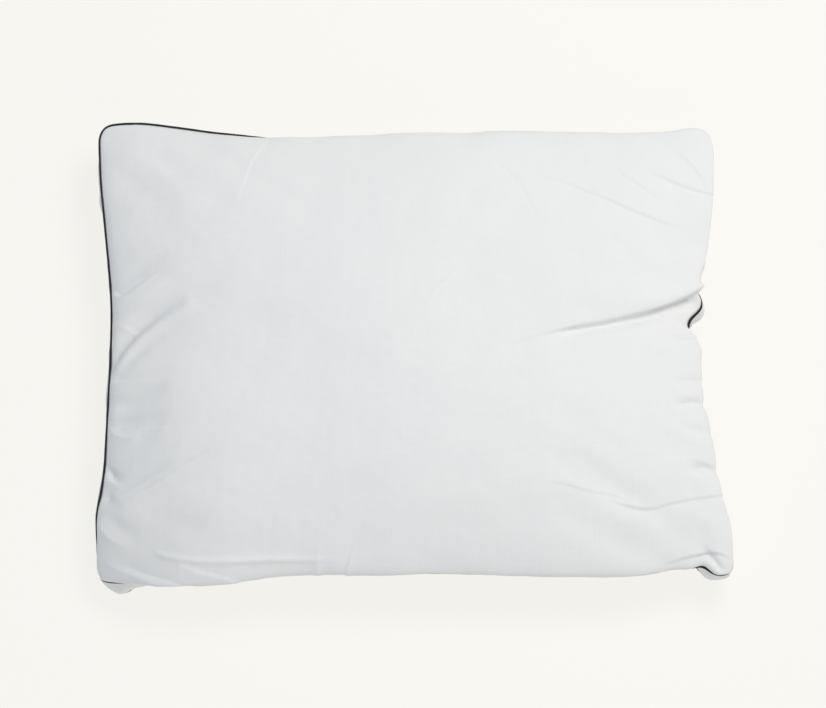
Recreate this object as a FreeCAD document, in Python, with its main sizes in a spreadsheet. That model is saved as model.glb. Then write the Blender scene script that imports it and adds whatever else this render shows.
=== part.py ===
import FreeCAD, Part
import math
import os
import Sketcher
from FreeCAD import Vector

# A boxed bed pillow lying flat. Two crowned panels are sewn to an upright gusset strip, with a piping
# cord caught in each seam, and the case is full of loose fibre. +X runs along the length, +Y to the
# rear and +Z up. The origin is under the middle of the pillow, on the surface that it lies on.

SIZES = {
    "pillow_length": 650,  # along the seam line, corner to corner
    "pillow_width": 484,
    "loft": 135,  # full height at the crown
    "corner_radius": 26,  # of the seam line
    "side_waist": 11,  # how far the middle of a long side pulls in
    "end_waist": 13,  # how far the middle of a short side pulls in
    "gusset_height": 50,
    "bottom_seam_height": 38,  # above the surface that the pillow lies on
    "crown_width": 170,  # of the level middle of the top panel
    "crown_corner_radius": 50,
    "rest_width": 300,  # of the flat face that the pillow lies on
    "rest_corner_radius": 60,
    "level_waist": 1.5,  # how far the sides of those two level faces pull in
    "fabric": 0.6,  # thickness of one ply
    "seam_allowance": 10,
    "cord_diameter": 2.3,
    "cord_gap": 0.1,  # between a cord and its cover
    "piping_gap": 0.2,  # between a cover and the walls beside it
    "fill_gap": 0.5,  # between the fibre and the case
    "stitch_inset": 2,  # from the seam line to the row of stitches
    "thread": 0.5,
}

CROWN_STEPS = 9  # sections between a seam and the level middle of a panel

doc = FreeCAD.newDocument("BedPillow")
sheet = doc.addObject("Spreadsheet::Sheet", "Sizes")
for row, (alias, value) in enumerate(SIZES.items(), start=1):
    sheet.set(f"A{row}", alias)
    sheet.set(f"B{row}", str(value))
    sheet.setAlias(f"B{row}", alias)
doc.recompute()

# Lengths that several pieces share, as expressions on the sheet. Heights are above a body's own zero.
PLY = "Sizes.fabric"
HALF_LENGTH = "Sizes.pillow_length / 2"
HALF_WIDTH = "Sizes.pillow_width / 2"
BOTTOM_SEAM = "Sizes.bottom_seam_height"
TOP_SEAM = "(Sizes.bottom_seam_height + Sizes.gusset_height)"
TOP_RISE = f"(Sizes.loft - {TOP_SEAM})"
COVER_BORE = "(Sizes.cord_diameter / 2 + Sizes.cord_gap)"
PIPING_RADIUS = f"({COVER_BORE} + {PLY})"
PIPING_OFFSET = f"({PIPING_RADIUS} + Sizes.piping_gap)"
FILL_INSET = f"({PLY} + Sizes.fill_gap)"
FILL_GROOVE = f"(2 * {PLY} + Sizes.fill_gap)"  # half the height of the gap round the seam allowances
STITCH_REACH = f"(2 * {PLY} + Sizes.thread / 2)"  # the thread stands proud of two plies each way


# ---------------------------------------------------------------- sketches


def value_of(expression):
    """The number that an expression on the sheet gives now."""
    return float(sheet.evalExpression(expression))


def new_body(label, height="0"):
    """A sub-part, whose own zero level stands at the given height."""
    body = doc.addObject("PartDesign::Body", label)
    body.Label = label
    body.setExpression("Placement.Base.z", height)
    return body


def new_sketch(body, name, plane="XY_Plane", height="0"):
    """A sketch on one of the body's own origin planes, or at a height above it."""
    sketch = body.newObject("Sketcher::SketchObject", name)
    origin_plane = next(f for f in body.Origin.OriginFeatures if f.Role == plane)
    sketch.AttachmentSupport = (origin_plane, [""])
    sketch.MapMode = "FlatFace"
    sketch.setExpression("AttachmentOffset.Base.z", height)
    return sketch


def drive(sketch, name, constraint, expression):
    """Adds a dimension to a sketch and ties it to the sheet."""
    index = sketch.addConstraint(constraint)
    sketch.renameConstraint(index, name)
    sketch.setExpression(f"Constraints.{name}", expression)


def side_radius(half_extent, corner, waist):
    """The radius of the arc that joins two corners tangentially and pulls in by the waist."""
    centre = f"({half_extent} - {corner})"
    return f"({centre}^2 + {waist}^2 - 2 * {corner} * {waist}) / (2 * {waist})"


def draw_outline(sketch, inset, corner=None, side_waist="Sizes.side_waist", end_waist="Sizes.end_waist"):
    """Draws the pillow's closed outline, moved inwards by the inset.

    Four round corners are joined by sides that curve inwards. The outline starts at the middle of the
    front side, whose arc is in two halves, and runs clockwise seen from above.
    """
    corner = corner or f"(Sizes.corner_radius - {inset})"
    half_length = f"({HALF_LENGTH} - {inset})"
    half_width = f"({HALF_WIDTH} - {inset})"
    long_side = side_radius(half_length, corner, side_waist)
    short_side = side_radius(half_width, corner, end_waist)

    r = value_of(corner)
    r_long = value_of(long_side)
    r_short = value_of(short_side)
    x = value_of(half_length) - r
    y = value_of(half_width) - r
    y_long = y + r + r_long - value_of(side_waist)
    x_short = x + r + r_short - value_of(end_waist)
    a = math.asin(x / (r_long + r))  # half the angle of a long side's arc
    b = math.asin(y / (r_short + r))  # half the angle of a short side's arc
    turn = math.pi / 2

    def arc(cx, cy, radius, start, end):
        return Part.ArcOfCircle(Part.Circle(Vector(cx, cy, 0), Vector(0, 0, 1), radius), start, end)

    arcs = [
        arc(0, -y_long, r_long, turn, turn + a),  # front side, left half
        arc(-x, -y, r, 2 * turn + b, 3 * turn - a),  # front left corner
        arc(-x_short, 0, r_short, -b, b),  # left side
        arc(-x, y, r, turn + a, 2 * turn - b),  # rear left corner
        arc(0, y_long, r_long, -turn - a, -turn + a),  # rear side
        arc(x, y, r, b, turn - a),  # rear right corner
        arc(x_short, 0, r_short, 2 * turn - b, 2 * turn + b),  # right side
        arc(x, -y, r, a - turn, -b),  # front right corner
        arc(0, -y_long, r_long, turn - a, turn),  # front side, right half
    ]
    first = sketch.GeometryCount
    sketch.addGeometry(arcs, False)
    numbers = range(first, first + len(arcs))
    front_left, left_front, left_side, left_rear, rear, right_rear, right_side, right_front, front_right = numbers

    start, end, centre = 1, 2, 3
    origin, x_axis, y_axis = -1, -1, -2
    joints = [
        (front_left, end, left_front, end),
        (left_front, start, left_side, start),
        (left_side, end, left_rear, end),
        (left_rear, start, rear, start),
        (rear, end, right_rear, end),
        (right_rear, start, right_side, start),
        (right_side, end, right_front, end),
        (right_front, start, front_right, start),
    ]
    rules = [Sketcher.Constraint("Tangent", *joint) for joint in joints]
    rules += [
        Sketcher.Constraint("Coincident", front_right, end, front_left, start),
        Sketcher.Constraint("PointOnObject", front_left, start, y_axis),
        Sketcher.Constraint("PointOnObject", front_left, centre, y_axis),
        Sketcher.Constraint("PointOnObject", front_right, centre, y_axis),
        Sketcher.Constraint("Symmetric", right_rear, centre, left_rear, centre, y_axis),
        Sketcher.Constraint("Symmetric", right_rear, centre, right_front, centre, x_axis),
        Sketcher.Constraint("Symmetric", left_rear, centre, left_front, centre, x_axis),
        Sketcher.Constraint("Equal", right_rear, left_rear),
        Sketcher.Constraint("Equal", right_rear, left_front),
        Sketcher.Constraint("Equal", right_rear, right_front),
        Sketcher.Constraint("Equal", right_side, left_side),
        Sketcher.Constraint("Equal", rear, front_left),
    ]
    sketch.addConstraint(rules)
    along = Sketcher.Constraint("DistanceX", origin, start, right_rear, centre, x)
    across = Sketcher.Constraint("DistanceY", origin, start, right_rear, centre, y)
    drive(sketch, f"corner_{first}_along", along, f"{half_length} - {corner}")
    drive(sketch, f"corner_{first}_across", across, f"{half_width} - {corner}")
    drive(sketch, f"corner_{first}_radius", Sketcher.Constraint("Radius", right_rear, r), corner)
    drive(sketch, f"long_side_{first}_radius", Sketcher.Constraint("Radius", rear, r_long), long_side)
    drive(sketch, f"short_side_{first}_radius", Sketcher.Constraint("Radius", right_side, r_short), short_side)


def draw_box(sketch, x_half, y_low, y_high):
    """Draws a rectangle that is symmetric about the sketch's y axis."""
    x, low, high = value_of(x_half), value_of(y_low), value_of(y_high)
    corners = [Vector(-x, low), Vector(x, low), Vector(x, high), Vector(-x, high)]
    lines = [Part.LineSegment(corners[k - 1], corners[k]) for k in range(4)]
    sketch.addGeometry(lines, False)
    left, bottom, right, top = range(4)
    start, end, origin, y_axis = 1, 2, -1, -2
    rules = [Sketcher.Constraint("Coincident", k, end, (k + 1) % 4, start) for k in range(4)]
    rules += [Sketcher.Constraint("Vertical", k) for k in (left, right)]
    rules += [
        Sketcher.Constraint("Horizontal", top),
        Sketcher.Constraint("Symmetric", bottom, start, bottom, end, y_axis),
    ]
    sketch.addConstraint(rules)
    drive(sketch, "width", Sketcher.Constraint("DistanceX", bottom, start, bottom, end, 2 * x), f"2 * {x_half}")
    drive(sketch, "low_edge", Sketcher.Constraint("DistanceY", origin, start, bottom, start, low), y_low)
    drive(sketch, "high_edge", Sketcher.Constraint("DistanceY", origin, start, top, start, high), y_high)


# ---------------------------------------------------------------- features


def pad(body, sketch, length, kind="PartDesign::Pad"):
    """Pads a sketch upwards, or pockets it downwards, by the length."""
    feature = body.newObject(kind, f"{sketch.Name}_feature")
    feature.Profile = sketch
    feature.setExpression("Length", length)
    return feature


def add_ring(body, name, base, height, outer_inset, inner_inset, kind="PartDesign::Pad"):
    """A band that follows the pillow's outline between two insets."""
    sketch = new_sketch(body, name, height=base)
    draw_outline(sketch, outer_inset)
    draw_outline(sketch, inner_inset)
    return pad(body, sketch, height, kind)


def add_crown(body, name, kind, level, base, rise, inset):
    """Lofts from the seam outline to a level middle, along a quarter of an ellipse.

    level is the prefix of the level middle's sizes. A negative rise makes a crown that hangs down.
    """
    reach = f"(Sizes.pillow_width - Sizes.{level}_width) / 2"
    seam_corner = f"(Sizes.corner_radius - {inset})"
    level_corner = f"Sizes.{level}_corner_radius"
    sections = []
    for step in range(CROWN_STEPS + 1):
        angle = 90 * step / CROWN_STEPS
        share = f"(1 - cos({angle}))"

        def between(at_seam, at_level):
            return f"({at_seam} + ({at_level} - {at_seam}) * {share})"

        sketch = new_sketch(body, f"{name}_{step}", height=f"{base} + {rise} * sin({angle})")
        draw_outline(
            sketch,
            between(inset, reach),
            between(seam_corner, level_corner),
            between("Sizes.side_waist", "Sizes.level_waist"),
            between("Sizes.end_waist", "Sizes.level_waist"),
        )
        sections.append(sketch)
    loft = body.newObject(kind, name)
    loft.Profile = sections[0]
    loft.Sections = sections[1:]
    return loft


def add_pipe(body, path, profile, kind="PartDesign::AdditivePipe"):
    """Carries a section round a closed path."""
    pipe = body.newObject(kind, f"{profile.Name}_feature")
    pipe.Profile = profile
    pipe.Spine = (path, [])
    return pipe


# ---------------------------------------------------------------- sub-parts


def panel(label, height, level, rise):
    """A crowned panel with its edge turned inwards along the seam. Its zero level is the seam's."""
    body = new_body(label, height)
    add_crown(body, "outside", "PartDesign::AdditiveLoft", level, PLY, f"({rise} - {PLY})", "0")
    add_crown(body, "inside", "PartDesign::SubtractiveLoft", level, PLY, f"({rise} - 2 * {PLY})", PLY)
    add_ring(body, "turned_edge", PLY, PLY, f"({PLY} / 2)", "Sizes.seam_allowance")
    return body


def top_panel():
    return panel("top_panel", TOP_SEAM, "crown", TOP_RISE)


def bottom_panel():
    """The same construction turned over, with a wide flat face to lie on."""
    body = panel("bottom_panel", BOTTOM_SEAM, "rest", BOTTOM_SEAM)
    body.Placement.Rotation = FreeCAD.Rotation(Vector(1, 0, 0), 180)
    return body


# The gusset's two ends are turned in at the middle of the rear side and sewn together there.
REAR_WALL = f"({HALF_WIDTH} - Sizes.side_waist)"
JOIN_FOOT = f"(2 * {PLY} + Sizes.fill_gap)"  # clear of the turned edges and their stitches
JOIN_HEIGHT = f"(Sizes.gusset_height - 2 * {JOIN_FOOT})"


def gusset_strip():
    """The upright strip, with both long edges and both ends turned inwards."""
    body = new_body("gusset_strip", BOTTOM_SEAM)
    wall_height = f"Sizes.gusset_height - 2 * {PLY}"
    add_ring(body, "wall", PLY, wall_height, "0", PLY)
    for name, base in (("lower_edge", PLY), ("upper_edge", f"Sizes.gusset_height - 2 * {PLY}")):
        add_ring(body, name, base, PLY, f"({PLY} / 2)", "Sizes.seam_allowance")
    sketch = new_sketch(body, "turned_ends", height=JOIN_FOOT)
    draw_box(sketch, PLY, f"{REAR_WALL} - Sizes.seam_allowance", f"{REAR_WALL} - {PLY} / 2")
    pad(body, sketch, JOIN_HEIGHT)
    return body


def gusset_join_stitching():
    """The upright row of stitches through the gusset's two turned ends."""
    body = new_body("gusset_join_stitching", BOTTOM_SEAM)
    sketch = new_sketch(body, "stitches", height=JOIN_FOOT)
    outer = f"{REAR_WALL} - Sizes.stitch_inset"
    draw_box(sketch, f"({PLY} + Sizes.thread / 2)", f"{outer} - Sizes.thread", outer)
    pad(body, sketch, JOIN_HEIGHT)
    return body


def seam_stitching(label, height):
    """The row of stitches through a seam's four plies, as one continuous band."""
    body = new_body(label, height)
    inner = "(Sizes.stitch_inset + Sizes.thread)"
    add_ring(body, "stitches", f"-{STITCH_REACH}", f"2 * {STITCH_REACH}", "Sizes.stitch_inset", inner)
    return body


PIPING_START = f"({REAR_WALL} + {PIPING_OFFSET})"  # from the middle to the start of the piping's path


def piping_path(body):
    """The middle line of the piping, just outside the seam."""
    path = new_sketch(body, "path")
    draw_outline(path, f"(-{PIPING_OFFSET})")
    return path


def draw_round(body, name, radius):
    """A round section across the start of the piping's path."""
    sketch = new_sketch(body, name, plane="YZ_Plane")
    place = value_of(PIPING_START)
    circle = Part.Circle(Vector(-place, 0, 0), Vector(0, 0, 1), value_of(radius))
    sketch.addGeometry(circle, False)
    centre, origin, x_axis = 3, -1, -1
    sketch.addConstraint(Sketcher.Constraint("PointOnObject", 0, centre, x_axis))
    drive(sketch, "radius", Sketcher.Constraint("Radius", 0, value_of(radius)), radius)
    offset = Sketcher.Constraint("DistanceX", 0, centre, origin, 1, place)
    drive(sketch, "offset", offset, PIPING_START)
    return sketch


def draw_cover(body, name):
    """The cover's section: round the cord, with a flat flange of two plies caught in the seam."""
    sketch = new_sketch(body, name, plane="YZ_Plane")
    place, radius, ply = -value_of(PIPING_START), value_of(PIPING_RADIUS), value_of(PLY)
    flange = f"({PIPING_OFFSET} + Sizes.seam_allowance)"
    mouth = math.asin(ply / radius)
    root = place + radius * math.cos(mouth)
    edge = place + value_of(flange)
    circle = Part.Circle(Vector(place, 0, 0), Vector(0, 0, 1), radius)
    corners = [Vector(root, -ply), Vector(edge, -ply), Vector(edge, ply), Vector(root, ply)]
    lines = [Part.LineSegment(corners[k], corners[k + 1]) for k in range(3)]
    sketch.addGeometry([Part.ArcOfCircle(circle, mouth, -mouth)] + lines, False)
    arc, lower, tip, upper = range(4)
    start, end, centre, origin, x_axis = 1, 2, 3, -1, -1
    rules = [Sketcher.Constraint("Coincident", k, end, (k + 1) % 4, start) for k in range(4)]
    rules += [
        Sketcher.Constraint("Horizontal", lower),
        Sketcher.Constraint("Horizontal", upper),
        Sketcher.Constraint("PointOnObject", arc, centre, x_axis),
        Sketcher.Constraint("Symmetric", tip, start, tip, end, x_axis),
    ]
    sketch.addConstraint(rules)
    offset = Sketcher.Constraint("DistanceX", arc, centre, origin, start, -place)
    reach = Sketcher.Constraint("DistanceX", arc, centre, tip, end, edge - place)
    drive(sketch, "offset", offset, PIPING_START)
    drive(sketch, "radius", Sketcher.Constraint("Radius", arc, radius), PIPING_RADIUS)
    drive(sketch, "flange_reach", reach, flange)
    drive(sketch, "flange", Sketcher.Constraint("DistanceY", tip, start, tip, end, 2 * ply), f"2 * {PLY}")
    return sketch


def piping_cord(label, height):
    """The cord inside the piping, all the way round the seam."""
    body = new_body(label, height)
    add_pipe(body, piping_path(body), draw_round(body, "cord", "(Sizes.cord_diameter / 2)"))
    return body


def piping_cover(label, height):
    """The folded strip round the cord, with its two edges caught flat in the seam."""
    body = new_body(label, height)
    path = piping_path(body)
    add_pipe(body, path, draw_cover(body, "cover"))
    add_pipe(body, path, draw_round(body, "bore", COVER_BORE), "PartDesign::SubtractivePipe")
    return body


def fibre_fill():
    """The fibre, as one body that fills the case and leaves room for everything that is turned inwards."""
    body = new_body("fibre_fill", BOTTOM_SEAM)
    sketch = new_sketch(body, "middle")
    draw_outline(sketch, FILL_INSET)
    pad(body, sketch, "Sizes.gusset_height")
    lift = f"({TOP_RISE} - {FILL_INSET})"
    drop = f"(-({BOTTOM_SEAM} - {FILL_INSET}))"
    loft = "PartDesign::AdditiveLoft"
    add_crown(body, "upper", loft, "crown", "Sizes.gusset_height", lift, FILL_INSET)
    add_crown(body, "lower", loft, "rest", "0", drop, FILL_INSET)
    pocket = "PartDesign::Pocket"
    inner = "(Sizes.seam_allowance + Sizes.fill_gap)"
    for name, seam in (("lower_groove", "0"), ("upper_groove", "Sizes.gusset_height")):
        add_ring(body, name, f"{seam} + {FILL_GROOVE}", f"2 * {FILL_GROOVE}", "0", inner, pocket)
    slot = new_sketch(body, "join_slot", height="Sizes.gusset_height")
    draw_box(slot, f"({PLY} + Sizes.thread / 2 + Sizes.fill_gap)", f"{REAR_WALL} - {inner}", REAR_WALL)
    pad(body, slot, "Sizes.gusset_height", pocket)
    return body


parts = [
    top_panel(),
    bottom_panel(),
    gusset_strip(),
    piping_cover("top_piping_cover", TOP_SEAM),
    piping_cover("bottom_piping_cover", BOTTOM_SEAM),
    piping_cord("top_piping_cord", TOP_SEAM),
    piping_cord("bottom_piping_cord", BOTTOM_SEAM),
    fibre_fill(),
    seam_stitching("top_seam_stitching", TOP_SEAM),
    seam_stitching("bottom_seam_stitching", BOTTOM_SEAM),
    gusset_join_stitching(),
]
doc.recompute()

for item in doc.Objects:
    if "Invalid" in item.State or "Error" in item.State:
        raise RuntimeError(f"{item.Label} failed: {item.State}")
for item in parts:
    if item.Shape.isNull() or not item.Shape.isValid() or len(item.Shape.Solids) != 1:
        raise RuntimeError(f"{item.Label} is not one valid solid")

os.makedirs("parts", exist_ok=True)
for item in parts:
    item.Shape.exportStep(f"parts/{item.Label}.step")
    print(item.Label, round(item.Shape.Volume), "mm3")
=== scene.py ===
import math

import bmesh
import bpy
import numpy as np
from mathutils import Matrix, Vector


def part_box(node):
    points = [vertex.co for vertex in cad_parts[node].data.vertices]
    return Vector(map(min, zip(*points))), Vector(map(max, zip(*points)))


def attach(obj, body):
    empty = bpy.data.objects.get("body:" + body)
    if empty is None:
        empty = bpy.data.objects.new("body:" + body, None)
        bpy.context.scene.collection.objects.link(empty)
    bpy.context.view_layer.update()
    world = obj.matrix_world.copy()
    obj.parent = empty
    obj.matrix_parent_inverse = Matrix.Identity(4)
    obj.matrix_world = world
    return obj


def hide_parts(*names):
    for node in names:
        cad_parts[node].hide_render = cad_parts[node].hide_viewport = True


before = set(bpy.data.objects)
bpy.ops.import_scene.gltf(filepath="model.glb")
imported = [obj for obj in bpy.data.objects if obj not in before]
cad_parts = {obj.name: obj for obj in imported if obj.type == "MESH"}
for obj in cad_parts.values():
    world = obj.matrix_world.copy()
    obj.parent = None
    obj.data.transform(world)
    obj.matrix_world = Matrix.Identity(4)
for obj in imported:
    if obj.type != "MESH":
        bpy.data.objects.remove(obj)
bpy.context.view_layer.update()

# A boxed bed pillow, lying flat. Its case starts as one closed skin of three cloth pieces, which is shaped,
# then simulated under pressure, and then cut apart along the seams. The upper panel's folds and the
# gusset's puckers are sculpted last. Lengths are in millimetres until a mesh is made. u runs along the
# pillow's length and v across its width, from -1 to 1.

MM = 0.001


def cad_size(node):
    """A CAD node's length, width and height in millimetres."""
    low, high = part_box(node)
    return [(high[k] - low[k]) / MM for k in range(3)]


HALF_LENGTH = cad_size("top_panel")[0] / 2
HALF_WIDTH = cad_size("top_panel")[1] / 2
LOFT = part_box("top_panel")[1].z / MM
GUSSET_HEIGHT = cad_size("gusset_strip")[2]
PIPING_RADIUS = cad_size("top_piping_cover")[2] / 2
CORD_RADIUS = cad_size("top_piping_cord")[2] / 2
CORNER_RADII = {"front left": 19, "front right": 19, "rear left": 16, "rear right": 30}
FABRIC = 0.6  # the cloth's thickness
FILL_INSET = 8  # of the filling inside the case
FILL_SHARE = (0.98, 0.975, 0.93)  # a little smaller still, to clear the folds
FILL_LOWEST = 1.5
PIPING_OUT = 0.3  # from the seam line to the middle of the piping
CELL = 5.5  # of the simulated cloth
CELLS_LONG = round(2 * HALF_LENGTH / CELL)
CELLS_WIDE = round(2 * HALF_WIDTH / CELL)
CELLS_HIGH = round(GUSSET_HEIGHT / CELL)
UPPER, LOWER, GUSSET = range(3)  # the case's cloth pieces, by number
CORNERS = ((-1, -1), (1, -1), (1, 1), (-1, 1))  # as (u, v), anticlockwise from above


# ------------------------------------------------------------------ shape of the case


def smooth_step(x):
    """Rises smoothly from 0 at 0 to 1 at 1, and is level beyond them."""
    x = np.clip(x, 0, 1)
    return x * x * (3 - 2 * x)


def through(points, at):
    """A smooth curve through given (place, value) points, read at the places in an array."""
    places = np.array([p[0] for p in points], float)
    values = np.array([p[1] for p in points], float)
    slopes = np.gradient(values, places)
    k = np.clip(np.searchsorted(places, at) - 1, 0, len(places) - 2)
    step = places[k + 1] - places[k]
    s = np.clip((at - places[k]) / step, 0, 1)
    start, end = values[k], values[k + 1]
    pull_start, pull_end = slopes[k] * step, slopes[k + 1] * step
    return start + (end - start) * smooth_step(s) + s * (1 - s) * (pull_start * (1 - s) - pull_end * s)


# How far each side of the upper seam stands out from the straight side of the pattern. The places run
# along the side, and negative values are pulled in.
LEFT_SIDE = [(-242, -3), (-205, -4), (-180, -3), (-140, -9), (-75, -13), (-10, -15), (52, -15), (85, -12)]
LEFT_SIDE += [(137, -6), (180, -1), (242, 3)]
RIGHT_SIDE = [(-242, 6), (-215, 3), (-195, 0), (-172, -8), (-140, -16), (-75, -23), (-40, -30)]
RIGHT_SIDE += [(-10, -38), (10, -36), (28, -38), (37, -34), (47, -22), (59, -24), (71, -34), (95, -22)]
RIGHT_SIDE += [(137, -16), (210, -10), (242, -9)]
REAR_SIDE = [(-325, 2), (-297, 4), (-275, 4), (-247, 1), (-205, -5), (-180, -8), (-130, -14), (-80, -13)]
REAR_SIDE += [(0, -13), (67, -14), (125, -11), (150, -11), (245, -11), (280, -8), (300, -3), (325, -4)]
FRONT_SIDE = [(-325, -12), (-280, -7), (-185, -6), (-140, -13), (0, -16), (90, -15), (150, -15)]
FRONT_SIDE += [(235, -17), (262, -21), (283, -21), (291, -23), (297, -14), (310, -14), (325, -15)]

# How far the upper panel hangs out over the seam below it, along each side.
LEFT_HANG = [(-242, 9), (-205, 9), (-180, 3), (-60, 4), (40, 4), (120, 3), (242, 2)]
RIGHT_HANG = [(-242, 8), (-212, 11), (-190, 14), (-60, 14), (22, 14), (32, 3), (48, 1), (62, 13), (90, 14)]
RIGHT_HANG += [(242, 13)]
REAR_HANG = [(-325, 0), (-170, 2), (-130, 9), (-60, 13), (250, 14), (325, 13)]
FRONT_HANG = [(-325, 6), (-290, 12), (-230, 18), (-140, 17), (0, 19), (90, 19)]
FRONT_HANG += [(200, 17), (230, 17), (262, 14), (280, 12), (289, 9), (295, 3), (301, 8), (325, 8)]
HANG_REACH = 12  # from the seam to where the panel hangs out most

# The upper seam's height.
SEAM_HEIGHT = 77  # halfway along an end
SEAM_TILT = 7  # higher along the rear side, and lower along the front
SEAM_CORNER_DROP = 8
FRONT_LEFT_DROP = 30  # more, at that corner
REAR_LEFT_LIFT = 8
CROWN_SPARE = 3  # the crown starts lower than the loft, as pressure and folds add to it
CROWN_LEAN = 3  # higher on the right than in the middle

# The lower seam, seen from above, against the upper one.
TUCK_FRONT = 15  # inwards along the front
TUCK_REAR = 6
LEFT_EAR = 16  # how far the front left corner sticks out
RIGHT_EAR = 2
SHORTER_LEFT = 0.982
SHORTER_RIGHT = 0.992
SEAM_SHARE = 0.5  # how much of the upper seam's rise and fall the lower one follows
SEAM_LEVEL = 36  # makes up for the share that it doesn't follow
GUSSET_UPRIGHT = 0.9  # how much of the gusset's height is left between the seams, as it bulges
GUSSET_BULGE = 5


def rounded(u, v):
    """The flat pattern's place for a grid point, with its corners rounded."""
    x, y = u * HALF_LENGTH, v * HALF_WIDTH
    front = np.where(u < 0, CORNER_RADII["front left"], CORNER_RADII["front right"])
    rear = np.where(u < 0, CORNER_RADII["rear left"], CORNER_RADII["rear right"])
    radius = np.where(v < 0, front, rear)
    dx = np.abs(x) - (HALF_LENGTH - radius)
    dy = np.abs(y) - (HALF_WIDTH - radius)
    corner = (dx > 0) & (dy > 0)
    largest = np.maximum(dx, dy)
    scale = np.where(corner, largest / np.maximum(np.hypot(dx, dy), 1e-9), 1)
    x = np.where(corner, np.sign(x) * (HALF_LENGTH - radius + dx * scale), x)
    y = np.where(corner, np.sign(y) * (HALF_WIDTH - radius + dy * scale), y)
    return x, y


def plan(u, v):
    """Where the upper panel's grid points lie seen from above, without its overhang. Each side's shape fades
    out towards the middle of the pillow."""
    x, y = rounded(u, v)
    left, right = through(LEFT_SIDE, y), through(RIGHT_SIDE, y)
    rear, front = through(REAR_SIDE, x), through(FRONT_SIDE, x)
    x = x + right * smooth_step(u) - left * smooth_step(-u)
    y = y + rear * smooth_step(v) - front * smooth_step(-v)
    return x, y


def overhang(u, v):
    """How far the upper panel moves outwards close to its seam."""
    x, y = rounded(u, v)
    from_end = (1 - np.abs(u)) * HALF_LENGTH
    from_side = (1 - np.abs(v)) * HALF_WIDTH

    def bump(distance):
        t = distance / HANG_REACH
        return t * np.exp(1 - t)

    hang_x = np.where(u > 0, through(RIGHT_HANG, y), through(LEFT_HANG, y)) * bump(from_end)
    hang_y = np.where(v > 0, through(REAR_HANG, x), through(FRONT_HANG, x)) * bump(from_side)
    return np.sign(u) * hang_x, np.sign(v) * hang_y


def crown(u, v, flatness, roundness):
    """0 along the seams and 1 in the middle, low in the corners."""
    return ((1 - np.abs(u) ** flatness) * (1 - np.abs(v) ** flatness)) ** roundness


def undulation(x, y, seed, wavelength, height):
    """Soft hills and hollows made of nine crossed waves, which together come to about three times one."""
    rng = np.random.default_rng(seed)
    total = 0 * x
    for _ in range(9):
        angle, phase = rng.uniform(0, math.tau, 2)
        length = wavelength * rng.uniform(0.7, 1.5)
        along = x * math.cos(angle) + y * math.sin(angle)
        total = total + np.sin(math.tau * along / length + phase)
    return height * total / 3


def near(u, v, corner, reach):
    """1 at a corner, falling to 0 away from it."""
    gap = np.hypot((u - corner[0]) * HALF_LENGTH, (v - corner[1]) * HALF_WIDTH)
    return np.exp(-((gap / reach) ** 2))


def seam_height(u, v):
    """The upper seam's height: lower at the front and in the corners, and never quite level."""
    ripple = undulation(u * HALF_LENGTH, v * HALF_WIDTH, 21, 55, 1.1)
    turned_down = FRONT_LEFT_DROP * near(u, v, (-1, -1), 47)
    lifted = REAR_LEFT_LIFT * near(u, v, (-1, 1), 110)
    level = SEAM_HEIGHT + SEAM_TILT * v - SEAM_CORNER_DROP * np.abs(u * v) ** 3
    return level + ripple - turned_down + lifted


def upper_panel(u, v):
    """The upper panel's points: crowned, and hanging out over its seam."""
    x, y = plan(u, v)
    out_x, out_y = overhang(u, v)
    base = seam_height(u, v)
    lean = CROWN_LEAN * u * crown(u, v, 2, 1)
    z = base + (LOFT - CROWN_SPARE - base + lean) * crown(u, v, 2.6, 0.55)
    return np.stack([x + out_x, y + out_y, z], -1)


def lower_seam(u, v):
    """Where the lower seam lies seen from above, and its height. It is tucked in under the front and rear
    edges, and both front corners stick out."""
    x, y = plan(u, v)
    between_corners = 1 - np.abs(u) ** 10
    tuck_front = TUCK_FRONT * smooth_step(-v) * between_corners
    tuck_rear = TUCK_REAR * smooth_step(v) * between_corners
    left_ear, right_ear = near(u, v, (-0.94, -1), 17), near(u, v, (0.97, -1), 24)
    wander = undulation(u * HALF_LENGTH, v * HALF_WIDTH, 22, 70, 0.8)
    x = x * np.where(u < 0, SHORTER_LEFT, SHORTER_RIGHT) + wander
    y = y + tuck_front - tuck_rear - LEFT_EAR * left_ear - RIGHT_EAR * right_ear
    level = seam_height(u, v) * SEAM_SHARE + SEAM_LEVEL - GUSSET_HEIGHT * GUSSET_UPRIGHT
    return x, y, level + undulation(x, y, 23, 60, 1.0)


def lower_panel(u, v):
    """The lower panel's points, which curve down from the seam to a flat middle on the floor."""
    x, y, base = lower_seam(u, v)
    depth = np.minimum(1.3 * crown(u, v, 3, 0.5), 1)
    return np.stack([x, y, base * (1 - 0.5 * (smooth_step(depth) + depth))], -1)


def rim(n_long, n_wide):
    """Grid indices round the edge of a panel, from the front left corner and anticlockwise from above."""
    front = [(i, 0) for i in range(n_long)]
    right = [(n_long, j) for j in range(n_wide)]
    rear = [(i, n_wide) for i in range(n_long, 0, -1)]
    left = [(0, j) for j in range(n_wide, 0, -1)]
    return np.array(front + right + rear + left)


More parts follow.
